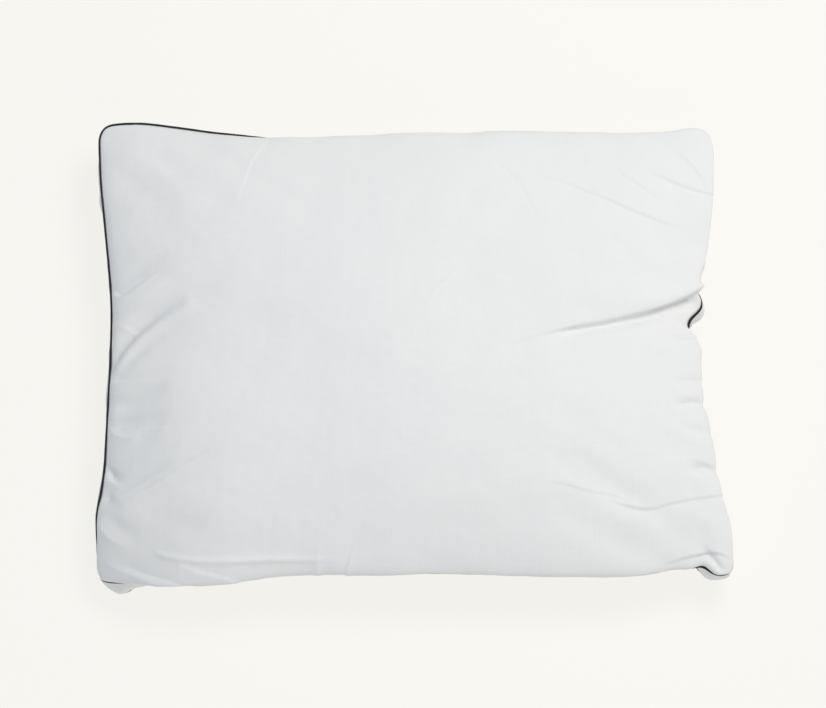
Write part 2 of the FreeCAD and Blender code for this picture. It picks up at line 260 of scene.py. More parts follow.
def make_case():
    """The case's points, the faces of its three cloth pieces, and its rings of point numbers, from the lower
    seam up to the upper one. Points come panel by panel, upper and lower, and then by the gusset's rows."""
    n, m = CELLS_LONG, CELLS_WIDE
    v, u = np.meshgrid(np.linspace(-1, 1, m + 1), np.linspace(-1, 1, n + 1), indexing="ij")
    upper, lower = upper_panel(u, v), lower_panel(u, v)
    edge = rim(n, m)
    top, bottom = upper[edge[:, 1], edge[:, 0]], lower[edge[:, 1], edge[:, 0]]
    outward = top - np.roll(top, 1, 0)
    outward = np.stack([outward[:, 1], -outward[:, 0], 0 * outward[:, 0]], -1)
    outward /= np.linalg.norm(outward, axis=1, keepdims=True)
    rows = []
    for k in range(1, CELLS_HIGH):
        share = k / CELLS_HIGH
        rows.append(bottom + (top - bottom) * share + outward * GUSSET_BULGE * math.sin(math.pi * share))
    points = np.concatenate([upper.reshape(-1, 3), lower.reshape(-1, 3)] + rows)

    size = (n + 1) * (m + 1)
    rim_index = edge[:, 1] * (n + 1) + edge[:, 0]
    rings = [rim_index + size]
    rings += [2 * size + (k * len(edge)) + np.arange(len(edge)) for k in range(CELLS_HIGH - 1)]
    rings.append(rim_index)
    i, j = np.meshgrid(np.arange(n), np.arange(m))
    corner = (j * (n + 1) + i).ravel()
    quads = np.stack([corner, corner + 1, corner + n + 2, corner + n + 1], -1)
    walls = [np.stack([a, np.roll(a, -1), np.roll(b, -1), b], -1) for a, b in zip(rings, rings[1:])]
    parts = {"upper": quads, "lower": quads[:, ::-1] + size, "gusset": np.concatenate(walls)}
    return points, parts, rings


case_points, PARTS, RINGS = make_case()


# ------------------------------------------------------------------ meshes


def make_object(name, points, faces):
    """A new smooth-shaded object in the scene, from points in millimetres and faces."""
    mesh = bpy.data.meshes.new(name)
    mesh.from_pydata([tuple(p) for p in np.asarray(points) * MM], [], [tuple(map(int, f)) for f in faces])
    mesh.polygons.foreach_set("use_smooth", [True] * len(mesh.polygons))
    mesh.update()
    piece = bpy.data.objects.new(name, mesh)
    bpy.context.scene.collection.objects.link(piece)
    return piece


def points_of(piece):
    """A piece's points in millimetres, as rows."""
    flat = np.empty(len(piece.data.vertices) * 3, np.float32)
    piece.data.vertices.foreach_get("co", flat)
    return flat.reshape(-1, 3).astype(float) / MM


def move_to(piece, points):
    """Moves a piece's points to other places, in millimetres."""
    piece.data.vertices.foreach_set("co", (points * MM).ravel())
    piece.data.update()


def normals_of(piece):
    """The outward unit vectors at a piece's points."""
    flat = np.empty(len(piece.data.vertices) * 3, np.float32)
    piece.data.vertex_normals.foreach_get("vector", flat)
    return flat.reshape(-1, 3).astype(float)


def apply_modifiers(piece):
    """Swaps the piece's mesh for the one that its modifiers make, and removes them."""
    seen = piece.evaluated_get(bpy.context.evaluated_depsgraph_get())
    mesh = bpy.data.meshes.new_from_object(seen)
    piece.modifiers.clear()
    piece.vertex_groups.clear()
    old = piece.data
    piece.data = mesh
    bpy.data.meshes.remove(old)


# ------------------------------------------------------------------ cloth under pressure


def weigh(piece, name, weights):
    """A vertex group with a weight for each vertex, in twenty steps."""
    group = piece.vertex_groups.new(name=name)
    steps = np.round(np.asarray(weights) * 20).astype(int)
    for step in range(1, 21):
        chosen = np.flatnonzero(steps == step)
        if len(chosen):
            group.add(chosen.tolist(), step / 20, "REPLACE")


SIM_FRAMES = 18
START_NOISE = 0.1
TIGHT_EDGE = 10  # the slack starts to fade this far from the edge
SLACK_REACH = 90  # and is gone this much further in
FURTHEST_MOVE = 9
CORNER_REACH = 150
CORNER_CALM = 0.85  # how much less slack and movement there is in the corners


def inflate(piece):
    """Slack cloth along the edges buckles into puckers when the pillow is under a little pressure."""
    start = points_of(piece)
    rng = np.random.default_rng(11)
    move_to(piece, start + rng.normal(0, START_NOISE, start.shape))
    from_edge = np.minimum(HALF_LENGTH - np.abs(start[:, 0]), HALF_WIDTH - np.abs(start[:, 1]))
    u, v = start[:, 0] / HALF_LENGTH, start[:, 1] / HALF_WIDTH
    cornered = np.max([near(u, v, corner, CORNER_REACH) for corner in CORNERS], axis=0)
    liveliness = 1 - CORNER_CALM * cornered
    weigh(piece, "slack", (1 - smooth_step((from_edge - TIGHT_EDGE) / SLACK_REACH)) * liveliness)
    held = np.zeros(len(start))
    for ring in (RINGS[0], RINGS[-1]):
        held[ring] = 1
    weigh(piece, "held", held)
    bpy.context.view_layer.objects.active = piece
    cloth = piece.modifiers.new("cloth", "CLOTH")
    feel = cloth.settings
    feel.quality = 5
    feel.mass = 0.3
    feel.tension_stiffness = feel.compression_stiffness = 15
    feel.shear_stiffness = 5
    feel.bending_stiffness = 1.0
    feel.use_pressure = True
    feel.uniform_pressure_force = 1.2
    feel.effector_weights.gravity = 0
    feel.vertex_group_shrink = "slack"
    feel.shrink_min = 0.0
    feel.shrink_max = -0.08
    feel.vertex_group_mass = "held"
    feel.pin_stiffness = 1
    cloth.collision_settings.use_collision = False
    cloth.collision_settings.use_self_collision = False
    for step in range(1, SIM_FRAMES + 1):
        bpy.context.scene.frame_set(step)
    apply_modifiers(piece)
    bpy.context.scene.frame_set(1)
    moved = points_of(piece) - start
    length = np.linalg.norm(moved, axis=1, keepdims=True)
    capped = moved * FURTHEST_MOVE / np.maximum(length, FURTHEST_MOVE) * liveliness[:, None]
    move_to(piece, start + capped)


case = make_object("case", case_points, np.concatenate(list(PARTS.values())))
part_of_face = np.repeat(np.arange(3), [len(faces) for faces in PARTS.values()]).astype(np.int32)
for name in PARTS:
    case.data.materials.append(bpy.data.materials.new(name))
case.data.polygons.foreach_set("material_index", part_of_face)
inflate(case)
fill_points = points_of(case) - FILL_INSET * normals_of(case)
case.modifiers.new("finer", "SUBSURF").levels = 1
apply_modifiers(case)


# ------------------------------------------------------------------ folds


PATH_STEP = 2  # between the places read along a fold's path
PATH_END = 6  # how far a fold fades past the ends of its path
FOLD_LINE = 0.9  # half the width of the step across a fold
SEAM_FADE = 12  # how far from the seam the folds reach their full height
FINE_REACH = 7  # how far on both sides of a fold the cells are halved
NARROW = 5  # furrows with a smaller half width get finer cells too


def run_along(line):
    """How far along a line each of its points is."""
    return np.concatenate([[0], np.cumsum(np.linalg.norm(np.diff(line, axis=0), axis=1))])


def smooth_path(path):
    """Evenly spaced places along a given path of (x, y, strength) points."""
    path = np.array(path, float)
    gone = run_along(path[:, :2])
    at = np.linspace(0, gone[-1], int(gone[-1] / PATH_STEP) + 2)
    return np.stack([through(list(zip(gone, path[:, k])), at) for k in range(3)], -1)


def beside(path, points):
    """Each point's distance from the path, positive to its left, and the path's strength there, which fades
    past the path's ends."""
    line = smooth_path(path)
    gap = points[:, None, :2] - line[None, :, :2]
    nearest = np.argmin((gap**2).sum(-1), axis=1)
    run = np.gradient(line[:, :2], axis=0)[nearest]
    run /= np.linalg.norm(run, axis=1, keepdims=True)
    offset = gap[np.arange(len(points)), nearest]
    leftwards = np.stack([-run[:, 1], run[:, 0]], -1)
    past = np.abs((offset * run).sum(1))
    return (offset * leftwards).sum(1), line[nearest, 2] * np.exp(-((past / PATH_END) ** 2))


def fold(left, right, reach, path):
    """A crease: its heights just left and right of the line, how far each side takes to level out, and the
    path with its strength."""
    return {"left": left, "right": right, "reach": reach, "path": path}


# Paths are seen from above, with x to the right and y to the rear, from the middle of the pillow.
FOLDS = [
    # the large fold in from the right edge, whose upper cloth laps over the lower
    fold(4.0, -4.5, (26, 9), [(70, -12, 0), (110, 0, 0.12), (140, 9, 0.25), (158, 14, 0.75), (202, 24, 0.9),
                              (243, 37, 1.1), (285, 54, 1.3), (306, 68, 1.4)]),
    fold(2.5, -2.5, (22, 14), [(303, 66, 1), (308, 90, 0.7), (306, 112, 0)]),
    # thin creases that spread from the rear right corner
    fold(1.1, -1.5, (6, 4), [(140, 179, 0), (165, 171, 1), (191, 161, 1), (243, 139, 1), (284, 126, 0)]),
    fold(0.9, -1.2, (5, 4), [(212, 189, 0), (230, 178, 1), (245, 168, 1), (262, 154, 0)]),
    fold(1.2, -1.7, (6, 5), [(242, 190, 0), (266, 181, 1), (285, 174, 1.2), (312, 168, 1)]),
    fold(0.8, -1.2, (8, 5), [(268, 216, 0), (290, 202, 1), (303, 186, 1), (312, 170, 0.6)]),
    # faint arcs over the rear half
    fold(0.35, -0.45, (6, 6), [(84, 200, 0), (102, 187, 1), (118, 165, 0.8), (136, 122, 0)]),
    fold(-0.6, 0.5, (5, 6), [(-150, 222, 0.3), (-162, 202, 1), (-170, 178, 0.7), (-181, 142, 0)]),
    fold(-0.4, 0.35, (6, 6), [(8, 28, 0), (30, 60, 1), (62, 90, 0)]),
    fold(-0.4, 0.35, (6, 6), [(28, 50, 0), (62, 62, 1), (84, 60, 0)]),
    # puckers along the left edge, from the rear to the front
    fold(-1.7, 1.3, (9, 6), [(-318, 62, 0.6), (-309, 64, 1), (-299, 57, 1), (-282, 65, 0.9), (-258, 82, 0)]),
    fold(1.0, 0.9, (2.5, 3), [(-316, 30, 0.5), (-300, 26, 1), (-284, 14, 1), (-270, 10, 0)]),
    fold(-0.9, 0.8, (5, 4), [(-318, -33, 0.6), (-300, -33, 1), (-262, -34, 0.6), (-230, -34, 0)]),
    fold(2.0, 1.9, (4, 4), [(-321, -62, 0.4), (-314, -74, 1), (-302, -88, 1.2), (-290, -92, 0.8),
                            (-276, -91, 0)]),
    fold(-0.8, 0.7, (5, 4), [(-292, -92, 0), (-270, -87, 1), (-232, -80, 1),
                             (-206, -72, 0.8), (-176, -66, 0)]),
    fold(-1.6, 1.6, (5, 5), [(-324, -112, 0.6), (-316, -122, 1), (-304, -136, 0.8), (-296, -140, 0)]),
    fold(-0.8, 0.9, (5, 4), [(-300, -160, 0), (-278, -150, 1), (-254, -138, 1), (-206, -112, 0.8),
                             (-178, -98, 0)]),
    fold(-0.6, 0.4, (8, 5), [(-306, -152, 0), (-285, -144, 1), (-246, -126, 0.8), (-200, -112, 0)]),
    fold(2.2, 2.2, (5, 5), [(-326, -160, 0.5), (-318, -180, 1), (-305, -194, 1), (-288, -203, 0)]),
    # folds that run into the front left corner
    fold(1.6, 1.2, (3, 4), [(-318, -212, 0), (-302, -222, 1), (-282, -231, 1),
                            (-250, -245, 0.9), (-236, -252, 0.6)]),
    fold(-2.2, -1.6, (6, 3), [(-300, -216, 0), (-276, -228, 1), (-248, -238, 1), (-222, -247, 0.9)]),
    fold(-1.2, 1.0, (7, 5), [(-236, -221, 0), (-216, -229, 1), (-190, -236, 0.8), (-168, -242, 0.5)]),
    fold(0.9, 0.9, (4, 6), [(-90, -198, 0), (-94, -220, 1), (-91, -242, 0.8)]),
    fold(0.8, -0.5, (5, 6), [(-56, -206, 0), (-64, -225, 1), (-68, -244, 0.7)]),
    # the front right quarter
    fold(0.7, -0.8, (5, 5), [(132, -144, 0), (156, -145, 1), (180, -151, 0.9),
                             (208, -155, 0.6), (228, -162, 0)]),
    fold(1.3, -1.5, (8, 5), [(202, -160, 0), (222, -165, 1), (246, -167, 1),
                             (262, -162, 0.9), (322, -149, 0.8)]),
    fold(2.0, -1.8, (10, 6), [(250, -224, 0), (285, -213, 1), (312, -209, 1), (326, -213, 0.3)]),
    # short puckers along the right edge
    fold(-1.0, 0.8, (7, 5), [(296, 14, 1), (284, 12, 0.8), (268, 7, 0)]),
    fold(-1.0, 0.8, (7, 5), [(302, -54, 1), (290, -54, 0.8), (270, -58, 0)]),
    fold(-1.0, 0.8, (7, 5), [(308, -122, 1), (296, -118, 0.8), (280, -116, 0)]),
]

# Soft valleys: each has a depth, a half width and a path with its strength. Negative ones are swells.
FURROWS = [
    # under the large fold
    (4.8, 6, [(150, 7, 0), (170, 13, 0.5), (200, 20, 0.8), (243, 32, 1), (290, 50, 1.4)]),
    (6.0, 9, [(282, 40, 0.6), (296, 46, 1), (304, 44, 1)]),
    (-1.2, 24, [(190, 62, 0), (240, 72, 1), (285, 84, 1)]),
    # the deep one from the left edge, the swell before it, and its smaller neighbours
    (8.5, 8.5, [(-316, -24, 0.8), (-294, 8, 1), (-272, 28, 1), (-248, 41, 0.6), (-228, 48, 0)]),
    (-3.2, 6, [(-316, -38, 0.6), (-290, -3, 1), (-270, 15, 1), (-238, 36, 0.5), (-215, 44, 0)]),
    (3.2, 7, [(-300, -26, 0.5), (-284, -8, 1), (-268, 4, 0.8), (-250, 10, 0)]),
    (3.6, 8, [(-312, 72, 0.4), (-292, 76, 1), (-272, 86, 0.8), (-248, 100, 0)]),
    (-1.8, 7, [(-300, 46, 0.6), (-280, 52, 1), (-250, 72, 0.7), (-222, 90, 0)]),
    (3.8, 8, [(-310, -54, 0.5), (-290, -58, 1), (-264, -50, 0.7), (-244, -42, 0)]),
    (4.2, 6, [(-306, -80, 0.6), (-290, -77, 1), (-268, -74, 0.6), (-250, -70, 0)]),
    (4.4, 5, [(-322, -112, 0.7), (-310, -126, 1), (-300, -132, 0.5)]),
    (4.0, 7, [(-312, -146, 0.8), (-298, -144, 1), (-276, -136, 0.7), (-240, -122, 0)]),
    (3.4, 5, [(-324, -142, 0.8), (-310, -154, 1), (-300, -160, 0.3)]),
    (2.2, 8, [(-312, -164, 0.5), (-300, -180, 1), (-282, -192, 0.6)]),
    # the front edge by the left corner, and the thin ridge above it
    (-2.2, 2.6, [(-262, -209, 0), (-246, -214, 1), (-232, -217, 1), (-118, -218, 1), (-70, -218, 0)]),
    (-1.8, 7, [(-268, -240, 0), (-232, -251, 1), (-205, -256, 0.5)]),
    # the front right corner
    (4.5, 4, [(302, -208, 0.5), (309, -216, 1), (317, -225, 0.8)]),
    # the right edge
    (4.5, 6, [(302, 10, 0.4), (284, 10, 1), (262, 6, 0)]),
    (3.6, 5, [(304, -34, 0.3), (288, -34, 1), (268, -38, 0)]),
    (4.6, 5, [(306, -56, 0.3), (290, -56, 1), (268, -60, 0)]),
    (3.4, 5, [(310, -88, 0.3), (296, -86, 1), (276, -84, 0)]),
    (4.2, 5, [(314, -124, 0.3), (298, -124, 1), (280, -128, 0)]),
]


def refine(piece):
    """Halves the panel's cells beside the folds."""
    points = points_of(piece)
    fine = np.zeros(len(points), bool)
    narrow = [path for _, half_width, path in FURROWS if half_width < NARROW]
    for path in [f["path"] for f in FOLDS] + narrow:
        across, strength = beside(path, points)
        fine |= (np.abs(across) < FINE_REACH) & (strength > 0.1)
    build = bmesh.new()
    build.from_mesh(piece.data)
    build.verts.ensure_lookup_table()
    edges = [edge for edge in build.edges if fine[edge.verts[0].index] and fine[edge.verts[1].index]]
    bmesh.ops.subdivide_edges(build, edges=edges, cuts=1, use_grid_fill=True)
    build.to_mesh(piece.data)
    build.free()
    piece.data.polygons.foreach_set("use_smooth", [True] * len(piece.data.polygons))
    piece.data.update()


def raise_by(piece, height, seam):
    """Moves a piece's points outwards by a height for each, which levels out towards the seams."""
    points, normals = points_of(piece), normals_of(piece)
    seam_gap = np.full(len(points), np.inf)
    block = 100  # of the seam's points at a time, to save memory
    for start in range(0, len(seam), block):
        gap = points[:, None] - seam[start:start + block][None]
        seam_gap = np.minimum(seam_gap, np.linalg.norm(gap, axis=-1).min(1))
    height = height * smooth_step(seam_gap / SEAM_FADE)
    move_to(piece, points + normals * height[:, None])


def pucker(piece, seams):
    """Upright puckers along the gusset."""
    x, y = points_of(piece)[:, :2].T
    raise_by(piece, undulation(x, y, 31, 75, 1.3) + undulation(x, y, 32, 26, 0.8), seams)


def crease(piece, seam):
    """Sculpts the upper panel's folds, which level out at the seam."""
    points = points_of(piece)
    x, y = points[:, 0], points[:, 1]
    height = undulation(x, y, 3, 190, 1.3) + undulation(x, y, 5, 60, 0.4) + undulation(x, y, 8, 17, 0.08)
    for f in FOLDS:
        path = np.array(f["path"])[:, :2]
        margin = 4 * max(f["reach"])
        close_by = ((points[:, :2] > path.min(0) - margin) & (points[:, :2] < path.max(0) + margin)).all(1)
        across, strength = beside(f["path"], points[close_by])
        left_reach, right_reach = f["reach"]
        leftness = (1 + np.tanh(across / FOLD_LINE)) / 2
        left = f["left"] * np.exp(-np.maximum(across, 0) / left_reach) * leftness
        right = f["right"] * np.exp(np.minimum(across, 0) / right_reach) * (1 - leftness)
        height[close_by] += (left + right) * strength
    for depth, half_width, path in FURROWS:
        across, strength = beside(path, points)
        height -= depth * strength * np.exp(-((across / half_width) ** 2))
    raise_by(piece, height, seam)


def faces_of(mesh, part):
    """The faces of one cloth piece, as rows of point numbers."""
    corners = np.empty(len(mesh.loops), np.int32)
    mesh.loops.foreach_get("vertex_index", corners)
    parts = np.empty(len(mesh.polygons), np.int32)
    mesh.polygons.foreach_get("material_index", parts)
    return corners.reshape(-1, 4)[parts == part]


def used_by(mesh, part):
    """Which of the case's points one cloth piece uses."""
    used = np.zeros(len(mesh.vertices), bool)
    used[faces_of(mesh, part).ravel()] = True
    return used


JOIN_DEPTH = 1.6
JOIN_REACH = 2.5


def sew_join(piece):
    """The valley at the middle of the rear side, where the gusset strip's two ends are joined."""
    points = points_of(piece)
    rear = used_by(piece.data, GUSSET) & (points[:, 1] > 0)
    points[rear, 1] -= JOIN_DEPTH * np.exp(-np.abs(points[rear, 0]) / JOIN_REACH)
    move_to(piece, points)


LOWEST = 0.3
SETTLED = 4  # what lies higher than this stays where it is


def settle(piece):
    """The pillow rests flat on the floor: what is lower than SETTLED is eased to stay above LOWEST."""
    points = points_of(piece)
    z = points[:, 2]
    room = SETTLED - LOWEST
    points[:, 2] = np.where(z < SETTLED, LOWEST + room * np.exp((z - SETTLED) / room), z)
    move_to(piece, points)


sew_join(case)
settle(case)


# ------------------------------------------------------------------ cloth pieces, tubes and stitches


def seam_loop(mesh, part):
    """Point numbers along the seam between a panel and the gusset, in order."""
    shared = used_by(mesh, part) & used_by(mesh, GUSSET)
    faces = faces_of(mesh, part)
    pairs = np.concatenate([faces[:, [k, (k + 1) % 4]] for k in range(4)])
    pairs = pairs[shared[pairs[:, 0]] & shared[pairs[:, 1]]]
    following = dict(map(tuple, pairs.tolist()))
    loop = [pairs[0, 0]]
    while following[loop[-1]] != loop[0]:
        loop.append(following[loop[-1]])
    return np.array(loop)


def cloth_piece(name, part, material, node, inside_share=1.0):
    """One cloth piece cut out of the case along its seams, with a thickness. Its inside keeps a share of its
    faces."""
    faces = faces_of(case.data, part)
    used, renumbered = np.unique(faces, return_inverse=True)
    piece = make_object(name, points_of(case)[used], renumbered.reshape(-1, 4))
    piece.data.materials.append(material)
    if part == UPPER:
        refine(piece)
        crease(piece, points_of(case)[seam_loop(case.data, UPPER)])
    if part == GUSSET:
        seams = np.concatenate([seam_loop(case.data, UPPER), seam_loop(case.data, LOWER)])
        pucker(piece, points_of(case)[seams])
    inside = piece.vertex_groups.new(name="inside")
    cloth = piece.modifiers.new("thickness", "SOLIDIFY")
    cloth.thickness = FABRIC * MM
    cloth.offset = -1
    cloth.shell_vertex_group = inside.name
    if inside_share < 1:
        coarser = piece.modifiers.new("coarser", "DECIMATE")
        coarser.ratio = inside_share
        coarser.vertex_group = inside.name
        coarser.vertex_group_factor = 1
    apply_modifiers(piece)
    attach(piece, "root")
    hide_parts(node)
    return piece


def loop_frame(line):
    """Unit vectors along a closed line and level outwards from it."""
    along = np.roll(line, -1, 0) - np.roll(line, 1, 0)
    along /= np.linalg.norm(along, axis=1, keepdims=True)
    out = np.stack([along[:, 1], -along[:, 0], 0 * along[:, 0]], -1)
    out /= np.linalg.norm(out, axis=1, keepdims=True)
    return along, out


def evened(line, count, softness):
    """A closed line with evenly spaced points, smoothed."""
    closed = np.concatenate([line, line[:1]])
    gone = run_along(closed)
    at = np.linspace(0, gone[-1], count, endpoint=False)
    line = np.stack([np.interp(at, gone, closed[:, k]) for k in range(3)], -1)
    for _ in range(softness):
        line = (line * 2 + np.roll(line, 1, 0) + np.roll(line, -1, 0)) / 4
    return line


def tube(name, line, radius, sides, material, node):
    """A closed tube along a closed line. Its radius can differ from point to point."""
    along, out = loop_frame(line)
    up = np.cross(out, along)
    radius = np.broadcast_to(radius, (len(line),))
    turn = np.linspace(0, math.tau, sides, endpoint=False)
    ring = out[:, None] * np.cos(turn)[None, :, None] + up[:, None] * np.sin(turn)[None, :, None]
    points = line[:, None] + ring * radius[:, None, None]
    k, j = np.meshgrid(np.arange(len(line)), np.arange(sides), indexing="ij")
    k2, j2 = (k + 1) % len(line), (j + 1) % sides
    quads = np.stack([k * sides + j, k * sides + j2, k2 * sides + j2, k2 * sides + j], -1).reshape(-1, 4)
    piece = make_object(name, points.reshape(-1, 3), quads)
    piece.data.materials.append(material)
    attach(piece, "root")
    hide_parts(node)
    return piece


def capsule(centre, direction, length, radius, sides=8):
    """A short round stitch with domed ends: its points and faces."""
    side = np.cross(direction, [1.0, 0.0, 0.0])
    side /= np.linalg.norm(side)
    other = np.cross(direction, side)
    points = []
    rings = ((-0.5, 0.25), (-0.38, 0.8), (0, 1), (0.38, 0.8), (0.5, 0.25))
    for along, share in rings:
        for turn in np.linspace(0, math.tau, sides, endpoint=False):
            round_it = side * math.cos(turn) + other * math.sin(turn)
            points.append(centre + direction * along * length + round_it * share * radius)
    last = len(rings) - 1
    faces = [tuple(range(sides))[::-1], tuple(range(last * sides, len(rings) * sides))]
    for ring in range(last):
        for k in range(sides):
            a, b = ring * sides + k, ring * sides + (k + 1) % sides
            faces.append((a, b, b + sides, a + sides))
    return points, faces


def point_along(line, gone, at):
    """The place at a distance along a line, from the distance gone at each of its points."""
    return np.array([np.interp(at, gone, line[:, k]) for k in range(3)])


def stitch_row(name, line, stitch, gap, radius, material, node):
    """Stitches one after the other along an open line, lying half sunk in the cloth."""
    gone = run_along(line)
    points, faces = [], []
    for start in np.arange(gap, gone[-1] - stitch, stitch + gap):
        first, last = [point_along(line, gone, at) for at in (start, start + stitch)]
        direction = (last - first) / np.linalg.norm(last - first)
        more_points, more_faces = capsule((first + last) / 2, direction, stitch, radius)
        faces += [tuple(k + len(points) for k in face) for face in more_faces]
        points += more_points
    piece = make_object(name, points, faces)
    piece.data.materials.append(material)
    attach(piece, "root")
    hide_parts(node)


# ------------------------------------------------------------------ materials


class Finish:
    """A Principled material that is built up node by node."""

    def __init__(self, name, roughness, sheen=0.0, specular=0.3):
        self.material = bpy.data.materials.new(name)
        self.material.use_nodes = True
        self.nodes = self.material.node_tree.nodes
        self.links = self.material.node_tree.links
        self.shader = self.nodes["Principled BSDF"]
        self.shader.inputs["Roughness"].default_value = roughness
        self.shader.inputs["Specular IOR Level"].default_value = specular
        self.shader.inputs["Sheen Weight"].default_value = sheen
        self.shader.inputs["Sheen Roughness"].default_value = 0.5
        self.place = self.nodes.new("ShaderNodeTexCoord").outputs["Object"]
        self.normal = None

    def stretched(self, scale, turn=0.0):
        """Object coordinates scaled along each axis, after a turn about the vertical."""
        mapping = self.nodes.new("ShaderNodeMapping")
        mapping.inputs["Scale"].default_value = scale
        mapping.inputs["Rotation"].default_value = (0, 0, turn)
        self.links.new(self.place, mapping.inputs["Vector"])
        return mapping.outputs["Vector"]

    def cloudy(self, vector, scale=1.0, detail=2.0):
        """Soft clouds, from 0 to 1."""
        texture = self.nodes.new("ShaderNodeTexNoise")
        texture.inputs["Scale"].default_value = scale
        texture.inputs["Detail"].default_value = detail
        self.links.new(vector, texture.inputs["Vector"])
        return texture.outputs["Fac"]

    def bands(self, vector, scale, direction, wander=0.4):
        """Fine waves across a direction, from 0 to 1."""
        texture = self.nodes.new("ShaderNodeTexWave")
        texture.bands_direction = direction
        texture.inputs["Scale"].default_value = scale
        texture.inputs["Distortion"].default_value = wander
        texture.inputs["Detail"].default_value = 1
        self.links.new(vector, texture.inputs["Vector"])
        return texture.outputs["Fac"]

    def combined(self, first, second, operation="ADD"):
        """Two values added, or multiplied. Each is a number or an output."""
        node = self.nodes.new("ShaderNodeMath")
        node.operation = operation
        for socket, value in zip(node.inputs, (first, second)):
            if isinstance(value, (int, float)):
                socket.default_value = value
            else:
                self.links.new(value, socket)
        return node.outputs[0]

    def tint(self, amount, low, high, over=None):
        """A colour between two others, or over an earlier one, by an amount from 0 to 1."""
        node = self.nodes.new("ShaderNodeMix")
        node.data_type = "RGBA"
        node.inputs["A"].default_value = (*low, 1)
        node.inputs["B"].default_value = (*high, 1)
        if over:
            node.blend_type = "MULTIPLY"
            node.inputs["Factor"].default_value = 1
            shade = self.tint(amount, low, high)
            self.links.new(over, node.inputs["A"])
            self.links.new(shade, node.inputs["B"])
        else:
            self.links.new(amount, node.inputs["Factor"])
        return node.outputs["Result"]

    def relief(self, height, depth, strength=1.0):
        """Adds a bump of about a depth in metres."""
        node = self.nodes.new("ShaderNodeBump")
        node.inputs["Distance"].default_value = depth
        node.inputs["Strength"].default_value = strength
        self.links.new(height, node.inputs["Height"])
        if self.normal:
            self.links.new(self.normal, node.inputs["Normal"])
        self.normal = node.outputs["Normal"]

    def roughness(self, amount, low, high):
        """Lets the roughness go from low to high with an amount."""
        node = self.nodes.new("ShaderNodeMapRange")
        node.inputs["To Min"].default_value = low
        node.inputs["To Max"].default_value = high
        self.links.new(amount, node.inputs["Value"])
        self.links.new(node.outputs["Result"], self.shader.inputs["Roughness"])

    def made(self, colour):
        """The finished material, with its colour and all its relief."""
        self.links.new(colour, self.shader.inputs["Base Color"])
        self.links.new(self.normal, self.shader.inputs["Normal"])
        return self.material


def white_percale(name, upright=False):
    """Plain-woven white cotton with uneven yarns, faint creasing and a slight yellowing in clouds. The
    gusset's yarns run along it and upright."""
    cloth = Finish(name, 0.85, sheen=0.12)
    warp, weft = ("Z", "DIAGONAL") if upright else ("X", "Y")
    fine = 300  # bands every half millimetre or so
    weave = [cloth.bands(cloth.place, fine, direction) for direction in (warp, weft)]
    weave = cloth.combined(*weave, "MULTIPLY")
    long_yarns = (25, 25, 1400) if upright else (25, 1400, 25)
    cross_yarns = (900, 900, 40) if upright else (1400, 25, 25)
    yarns = [cloth.cloudy(cloth.stretched(direction)) for direction in (long_yarns, cross_yarns)]
    yarns = cloth.combined(cloth.combined(*yarns), 0.5, "MULTIPLY")
    clouds = cloth.cloudy(cloth.place, 7, 4)
    colour = cloth.tint(clouds, (0.83, 0.835, 0.83), (0.865, 0.865, 0.85))
    colour = cloth.tint(yarns, (0.93, 0.93, 0.93), (1.0, 1.0, 1.0), over=colour)
    cloth.relief(cloth.cloudy(cloth.place, 55, 5), 0.0011, 0.35)
    cloth.relief(yarns, 0.0004, 0.35)
    cloth.relief(weave, 0.00012, 0.5)
    cloth.roughness(clouds, 0.8, 0.92)
    return cloth.made(colour)


def charcoal_bias():
    """The piping's woven cover, cut on the bias, so its yarns run askew."""
    cloth = Finish("charcoal_bias", 0.8, sheen=0.15, specular=0.25)
    askew = cloth.stretched((1, 1, 1), math.radians(45))
    weave = cloth.combined(cloth.bands(askew, 260, "X"), cloth.bands(askew, 260, "Y"), "MULTIPLY")
    wear = cloth.cloudy(cloth.place, 40, 4)
    colour = cloth.tint(wear, (0.010, 0.010, 0.012), (0.030, 0.030, 0.033))
    cloth.relief(weave, 0.0002, 0.7)
    cloth.relief(wear, 0.0004, 0.4)
    cloth.roughness(wear, 0.7, 0.9)
    return cloth.made(colour)


def twisted_cotton(name, scale, low, high):
    """Strands twisted round each other, as in cord and sewing thread."""
    cotton = Finish(name, 0.85, sheen=0.1)
    strands = cotton.bands(cotton.place, scale, "DIAGONAL", 0.8)
    cotton.relief(strands, 0.0002, 0.8)
    cotton.roughness(strands, 0.75, 0.9)
    return cotton.made(cotton.tint(strands, low, high))


def loose_fibre():
    """Carded filling, cloudy and tangled."""
    fluff = Finish("loose_fibre", 0.95, sheen=0.3)
    tangle = fluff.cloudy(fluff.place, 90, 8)
    fluff.relief(tangle, 0.002, 0.8)
    return fluff.made(fluff.tint(tangle, (0.74, 0.75, 0.76), (0.88, 0.88, 0.88)))


# ------------------------------------------------------------------ the pillow's pieces


percale = white_percale("white_percale")
upright_percale = white_percale("upright_percale", upright=True)
bias_cloth = charcoal_bias()
cord_cotton = twisted_cotton("cord_cotton", 500, (0.55, 0.53, 0.47), (0.74, 0.72, 0.66))
fibre = loose_fibre()
sewing_thread = twisted_cotton("sewing_thread", 900, (0.72, 0.72, 0.72), (0.86, 0.86, 0.85))

cloth_piece("top_panel_cloth", UPPER, percale, "top_panel", inside_share=0.75)
cloth_piece("bottom_panel_cloth", LOWER, percale, "bottom_panel")
cloth_piece("gusset_cloth", GUSSET, upright_percale, "gusset_strip")

fill_points *= FILL_SHARE
fill_points[:, 2] = np.maximum(fill_points[:, 2], FILL_LOWEST)
fill = make_object("fibre_fill_soft", fill_points, np.concatenate(list(PARTS.values())))
fill.data.materials.append(fibre)
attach(fill, "root")
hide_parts("fibre_fill")


JOIN_STITCHES_BESIDE = 0.8


